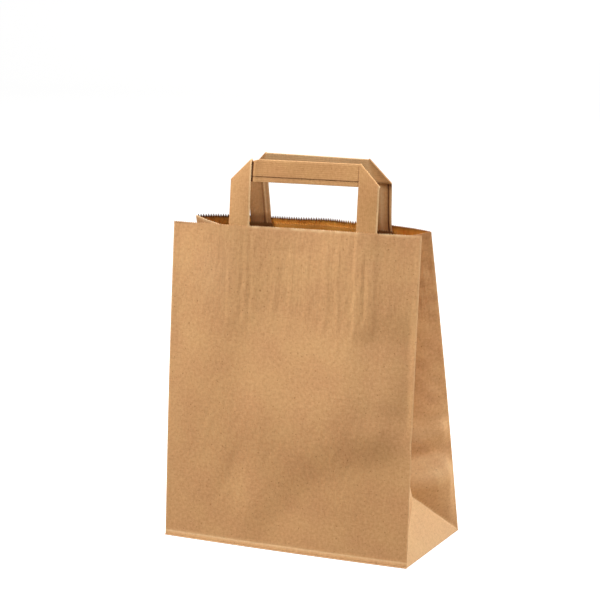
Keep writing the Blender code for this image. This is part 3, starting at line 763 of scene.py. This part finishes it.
def bar_sections(side):
    """The bar between its legs' inner edges: upright sections, a leg's thickness further in.

    The left end of the front bar stands forward of the fold, with its upper corner rounded off.
    """
    stops, heights = tape_profile(side)
    reach = HANDLE_SPANS[side] / 2 - TAPE_WIDTHS[side]
    beside = np.array([0.0002, 0.0007, 0.0012, 0.0017, 0.0023, 0.0031, 0.0041, 0.0056, 0.0080, 0.0110])
    from_left = np.concatenate([beside, np.linspace(0.0150, 2 * reach - 0.0150, 22), 2 * reach - beside[::-1]])
    radius = (TAPE + CLEARANCE) / 2
    leg_depth = PAPER / 2 + CLEARANCE + TAPE / 2
    crease = HANDLES[side]["rise"] - (radius + TAPE / 2) * sqrt(2)
    x = HANDLE_CENTRES[side] - reach + from_left[:, None]
    near_end = hill(from_left, 0.0, 0.0035)[:, None] if side == "front" else 0.0
    rise = crease + stops[None, :] - 0.0014 * near_end * soft_step(stops[None, :] / 0.004 - 3.5)
    depth = leg_depth + 2 * radius - heights[None, :]
    forward = 0.0009 * hill(from_left, 0.0036, 0.0022)[:, None] if side == "front" else 0.0
    wander = 0.00020 * ripples(from_left[:, None], stops[None, :], 0.035, 61)
    return from_left, tape_point(side, x, rise, depth - forward + wander)


def tape_handle(side, material):
    """Leg, fold, bar, fold and leg: the closed profile carried along, its two cut ends closed."""
    stops, heights = tape_profile(side)
    left = handle_sections(side, -1)
    right = handle_sections(side, 1)[::-1]
    from_left, bar = bar_sections(side)
    sections = np.concatenate([left, bar, right])
    count, around = sections.shape[:2]
    ring = np.arange(around + 1) % around
    first = np.arange(count - 1)[:, None] * around
    sides = np.stack([first + ring[:-1], first + ring[1:], first + around + ring[1:], first + around + ring[:-1]], -1)
    ends = [np.arange(around)[None, ::-1], np.arange(around)[None, :] + (count - 1) * around]
    flat = np.stack(np.broadcast_arrays(stops[None, :], along_tape(sections)[:, None]), axis=-1)
    # The folded edge that turns to the right is painted pale, a painted highlight, and the one that turns
    # left a little darker, painted shade; the bar's edges are a little pale. The last ply's free edge gets
    # a painted shadow line
    outer = 0.55 * hill(stops, 0, 0.0010)
    inner = 0.45 * hill(stops, TAPE_WIDTHS[side], 0.0010)
    seam = np.where(heights > 0, hill(stops, TAPE_SEAMS[side], 0.0006), 0)
    legs = len(left)
    wear_and_light = np.zeros((count, around))
    wear_and_light[:legs] = inner - 0.25 * outer
    wear_and_light[-legs:] = outer - 0.25 * inner
    wear_and_light[legs:-legs] = 0.1 * (inner + outer)
    if side == "front":
        # Painted shadow line at the last ply's free edge, and the left leg painted a little paler, nearer the light
        wear_and_light -= 0.5 * seam
        wear_and_light[:legs] += 0.05
    else:
        # The bar is painted paler, a painted highlight where it leans away from the light. The seam gets a dark painted
        # shadow line, the right leg a paler stripe, and the left leg a pale and a dark stripe 4 to 6 mm from its inner
        # edge.
        wear_and_light[legs:-legs] += 0.30
        wear_and_light[legs:] -= 1.1 * seam
        wear_and_light[-legs:] += np.where(heights > 0, 0.35 * hill(stops, 0.0100, 0.0014), 0)
        from_inner_edge = TAPE_WIDTHS[side] - stops
        stripes = 0.5 * hill(from_inner_edge, 0.0042, 0.0008) - 0.6 * hill(from_inner_edge, 0.0060, 0.0009)
        wear_and_light[:legs] += np.where(heights > 0, stripes, 0)
    if side == "front":
        # The right leg's fold is painted pale, a painted highlight. The bar gets a painted shadow beside each leg's
        # inner edge: dark in the slit at the left leg, a thin line at the right.
        wear_and_light[-legs:-legs + 5] = np.maximum(wear_and_light[-legs:-legs + 5], 0.35)
        facing = heights > 0
        slit = 1.3 * (from_left < 0.0015) + 0.6 * (from_left > from_left[-1] - 0.0006)
        wear_and_light[legs:-legs] -= slit[:, None] * facing * (stops < TAPE_WIDTHS[side] - 0.0012)
    else:
        # Painted shade on the back handle's folds, and on its left leg below the lip, in the front handle's shadow
        wear_and_light[legs - 9:legs] -= 0.3
        wear_and_light[-legs:-legs + 9] -= 0.3
        wear_and_light[:22] -= 0.50
    faces = [sides.reshape(-1, 4)[:, ::-1]] + [end[:, ::-1] for end in ends]
    piece = surface(side + "_tape", sections.reshape(-1, 3), faces, flat.reshape(-1, 2), wear_and_light.ravel(), sharp=50)
    dress(piece, material, "kraft_tape", side + "_handle")


tape_paper = kraft_paper("folded kraft tape", "a07447", "b18455", "c09363", rib_pitch=0.0016)
tape_handle("front", tape_paper)
tape_handle("rear", tape_paper)

# The patches
# A rectangle of kraft glued over each handle's two legs inside the mouth, its upper edge cut by
# the same toothed knife. It lies on the panel and rises over the legs.
PATCH_MARGIN = 0.005
PATCH_HEIGHT = 0.098
PATCH_DROP = 0.005
PATCH_RAMP = 0.003


def patch_depth(side, x, drop):
    """How deep the patch lies: on the panel, lifted over each leg by a ramp."""
    flat = PAPER + CLEARANCE
    lift = TAPE + CLEARANCE
    half_leg = TAPE_WIDTHS[side] / 2 + 2 * CLEARANCE
    left_x, right_x = leg_centres(side)
    beside = np.minimum(np.abs(x - left_x), np.abs(x - right_x)) - half_leg
    away = np.maximum(beside, drop - LEG_LENGTH - 2 * CLEARANCE) / PATCH_RAMP
    return flat + lift * (1 - soft_step(away))


def handle_patch(side, material):
    """A grid of the panel's points moved inwards by the patch's depth, with a toothed top."""
    half = HANDLE_SPANS[side] / 2 + PATCH_MARGIN
    steps = int(2 * half / TOOTH_PITCH * 2)
    distance = np.linspace(0, 2 * half, steps + 1)
    x = HANDLE_CENTRES[side] - half + distance[:, None]
    bottom = PATCH_DROP + PATCH_HEIGHT
    drop = np.concatenate([np.linspace(bottom, PATCH_DROP + 0.0026, 50), [PATCH_DROP]])[None, :]
    up = 1 - drop / HEIGHTS[side]
    across = x / HALF_WIDTH
    depth = patch_depth(side, x, drop) + 0.00006 * (1 + ripples(x, drop, 0.02, 71)) - panel_relief(side, across, up)
    points = panel(side, across, up) + depth[..., None] * panel_inward(side, across, up)
    if side == "front":
        points, distance = points[::-1], distance[::-1]
    extra = toothed_top(points, distance, np.full(len(distance), TOOTH_DEPTHS["patch"]))
    columns, rows = points.shape[:2]
    flat = np.stack(np.broadcast_arrays(distance[:, None], -drop), axis=-1).reshape(-1, 2)
    flat_extra = np.stack([(distance[1:] + distance[:-1]) / 2, np.full(columns - 1, -PATCH_DROP)], axis=-1)
    faces = grid_faces(columns, rows)
    faces = faces[faces[:, 2] % rows != rows - 1]
    # Painted shade: a thin line along the toothed top, and a heavy band where the patch lies over the legs near its
    # top. The teeth get a painted highlight.
    over_leg = (patch_depth(side, x, drop) - PAPER - CLEARANCE) / (TAPE + CLEARANCE)
    wear_and_light = -0.10 * hill(drop, PATCH_DROP, 0.0010) - 1.0 * over_leg * (1 - soft_step((drop - PATCH_DROP) / 0.020))
    wear_and_light = wear_and_light[::-1] if side == "front" else wear_and_light
    piece = surface(side + "_patch", np.concatenate([points.reshape(-1, 3), extra]),
                    [faces, toothed_faces(columns, rows, columns * rows)], np.concatenate([flat, flat_extra]),
                    np.concatenate([wear_and_light.ravel(), 0.25 + wear_and_light[1:, -1]]))
    thicken(piece)
    dress(piece, material, "kraft_patch", side + "_handle_patch")


# The patch's kraft is a brighter, more orange copy of the paper: the orange glow of light inside the bag, painted in
patch_glow_paper = kraft_paper("kraft patch painted with the glow inside the bag", "da9a42", "ecb052", "f6be60", through=0.15)
handle_patch("front", patch_glow_paper)
handle_patch("rear", patch_glow_paper)

# The stage
# A pale floor that runs back and turns up, white to the camera, with the bag's faint shadow.
FLOOR_GREY = linear("90806a")


def seen_directly(tree):
    """1 for a ray from the camera, a reflection or a clear material, otherwise 0."""
    rays = add(tree, "ShaderNodeLightPath")
    direct = add(tree, "ShaderNodeMath", {"operation": "MAXIMUM"}, _0=rays.outputs["Is Camera Ray"],
                 _1=rays.outputs["Is Glossy Ray"])
    direct = add(tree, "ShaderNodeMath", {"operation": "MAXIMUM"}, _0=direct.outputs[0],
                 _1=rays.outputs["Is Transmission Ray"])
    return direct.outputs[0]


def sweep():
    """Floor and backdrop in one: a level run, a quarter circle and a wall, all straight across."""
    turn = np.linspace(0, pi / 2, 17)
    y = np.concatenate([[-6.0], 4.0 + np.sin(turn), [5.0]])
    z = np.concatenate([[0.0], 1 - np.cos(turn), [6.0]])
    x = np.array([-9.0, 9.0])[:, None]
    points = np.stack(np.broadcast_arrays(x, y[None, :], z[None, :]), axis=-1).reshape(-1, 3)
    mesh = bpy.data.meshes.new("floor")
    mesh.from_pydata(points.tolist(), [], grid_faces(2, len(y)).tolist())
    mesh.polygons.foreach_set("use_smooth", np.ones(len(mesh.polygons), bool))
    floor = bpy.data.objects.new("floor", mesh)
    bpy.context.scene.collection.objects.link(floor)
    material = bpy.data.materials.new("white paper sweep")
    material.use_nodes = True
    tree = material.node_tree
    shader = tree.nodes["Principled BSDF"]
    shader.inputs["Base Color"].default_value = FLOOR_GREY
    shader.inputs["Roughness"].default_value = 0.9
    shader.inputs["Specular IOR Level"].default_value = 0.0
    glow = add(tree, "ShaderNodeEmission", None, Color=(1, 1, 1, 1), Strength=0.96)
    dimmed = add(tree, "ShaderNodeBsdfDiffuse", None, Color=linear("8a8a8a"))
    seen = add(tree, "ShaderNodeAddShader", None, _0=glow.outputs[0], _1=dimmed.outputs[0])
    mix = add(tree, "ShaderNodeMixShader", None, _0=seen_directly(tree), _1=shader.outputs[0], _2=seen.outputs[0])
    tree.links.new(mix.outputs[0], tree.nodes["Material Output"].inputs["Surface"])
    mesh.materials.append(material)


sweep()


def soft_lamp(name, place, aim, size, power):
    """A square diffuse lamp at place that faces aim."""
    data = bpy.data.lights.new(name, "AREA")
    data.shape = "SQUARE"
    data.size = size
    data.energy = power
    lamp = bpy.data.objects.new(name, data)
    lamp.location = place
    lamp.rotation_euler = (Vector(aim) - Vector(place)).to_track_quat("-Z", "Y").to_euler()
    bpy.context.scene.collection.objects.link(lamp)


soft_lamp("high_left_lamp", (-0.7, -0.5, 2.2), (0.0, 0.0, 0.12), 1.6, 143.0)
soft_lamp("right_lamp", (1.9, 0.3, 0.8), (0.0, 0.0, 0.12), 0.8, 34.5)
soft_lamp("back_right_lamp", (1.4, 1.1, 1.2), (0.0, 0.0, 0.12), 0.8, 15.0)

world = bpy.data.worlds.new("studio")
bpy.context.scene.world = world
world.use_nodes = True
background = world.node_tree.nodes["Background"]
background.inputs["Color"].default_value = (1, 1, 1, 1)
strength = add(world.node_tree, "ShaderNodeMath", {"operation": "MULTIPLY_ADD"},
               _0=seen_directly(world.node_tree), _1=0.98, _2=0.02)
world.node_tree.links.new(strength.outputs[0], background.inputs["Strength"])
bpy.context.scene.view_settings.view_transform = "Standard"

# The camera
# Its place, angles and focal length were fitted to the corners of the bag.
azimuth, pitch, roll = radians(26.25), radians(10.65), radians(-0.65)
ahead = Vector((-sin(azimuth) * cos(pitch), cos(azimuth) * cos(pitch), -sin(pitch)))
level = Vector((cos(azimuth), sin(azimuth), 0))
upright = level.cross(ahead)
right = cos(roll) * level + sin(roll) * upright
top = -sin(roll) * level + cos(roll) * upright
camera_data = bpy.data.cameras.new("camera")
camera_data.lens = 116.4
camera_data.sensor_width = 36.0
camera = bpy.data.objects.new("camera", camera_data)
turned = Matrix((right, top, -ahead)).transposed().to_4x4()
camera.matrix_world = Matrix.Translation((0.6862, -1.4089, 0.4936)) @ turned
bpy.context.scene.collection.objects.link(camera)
bpy.context.scene.camera = camera
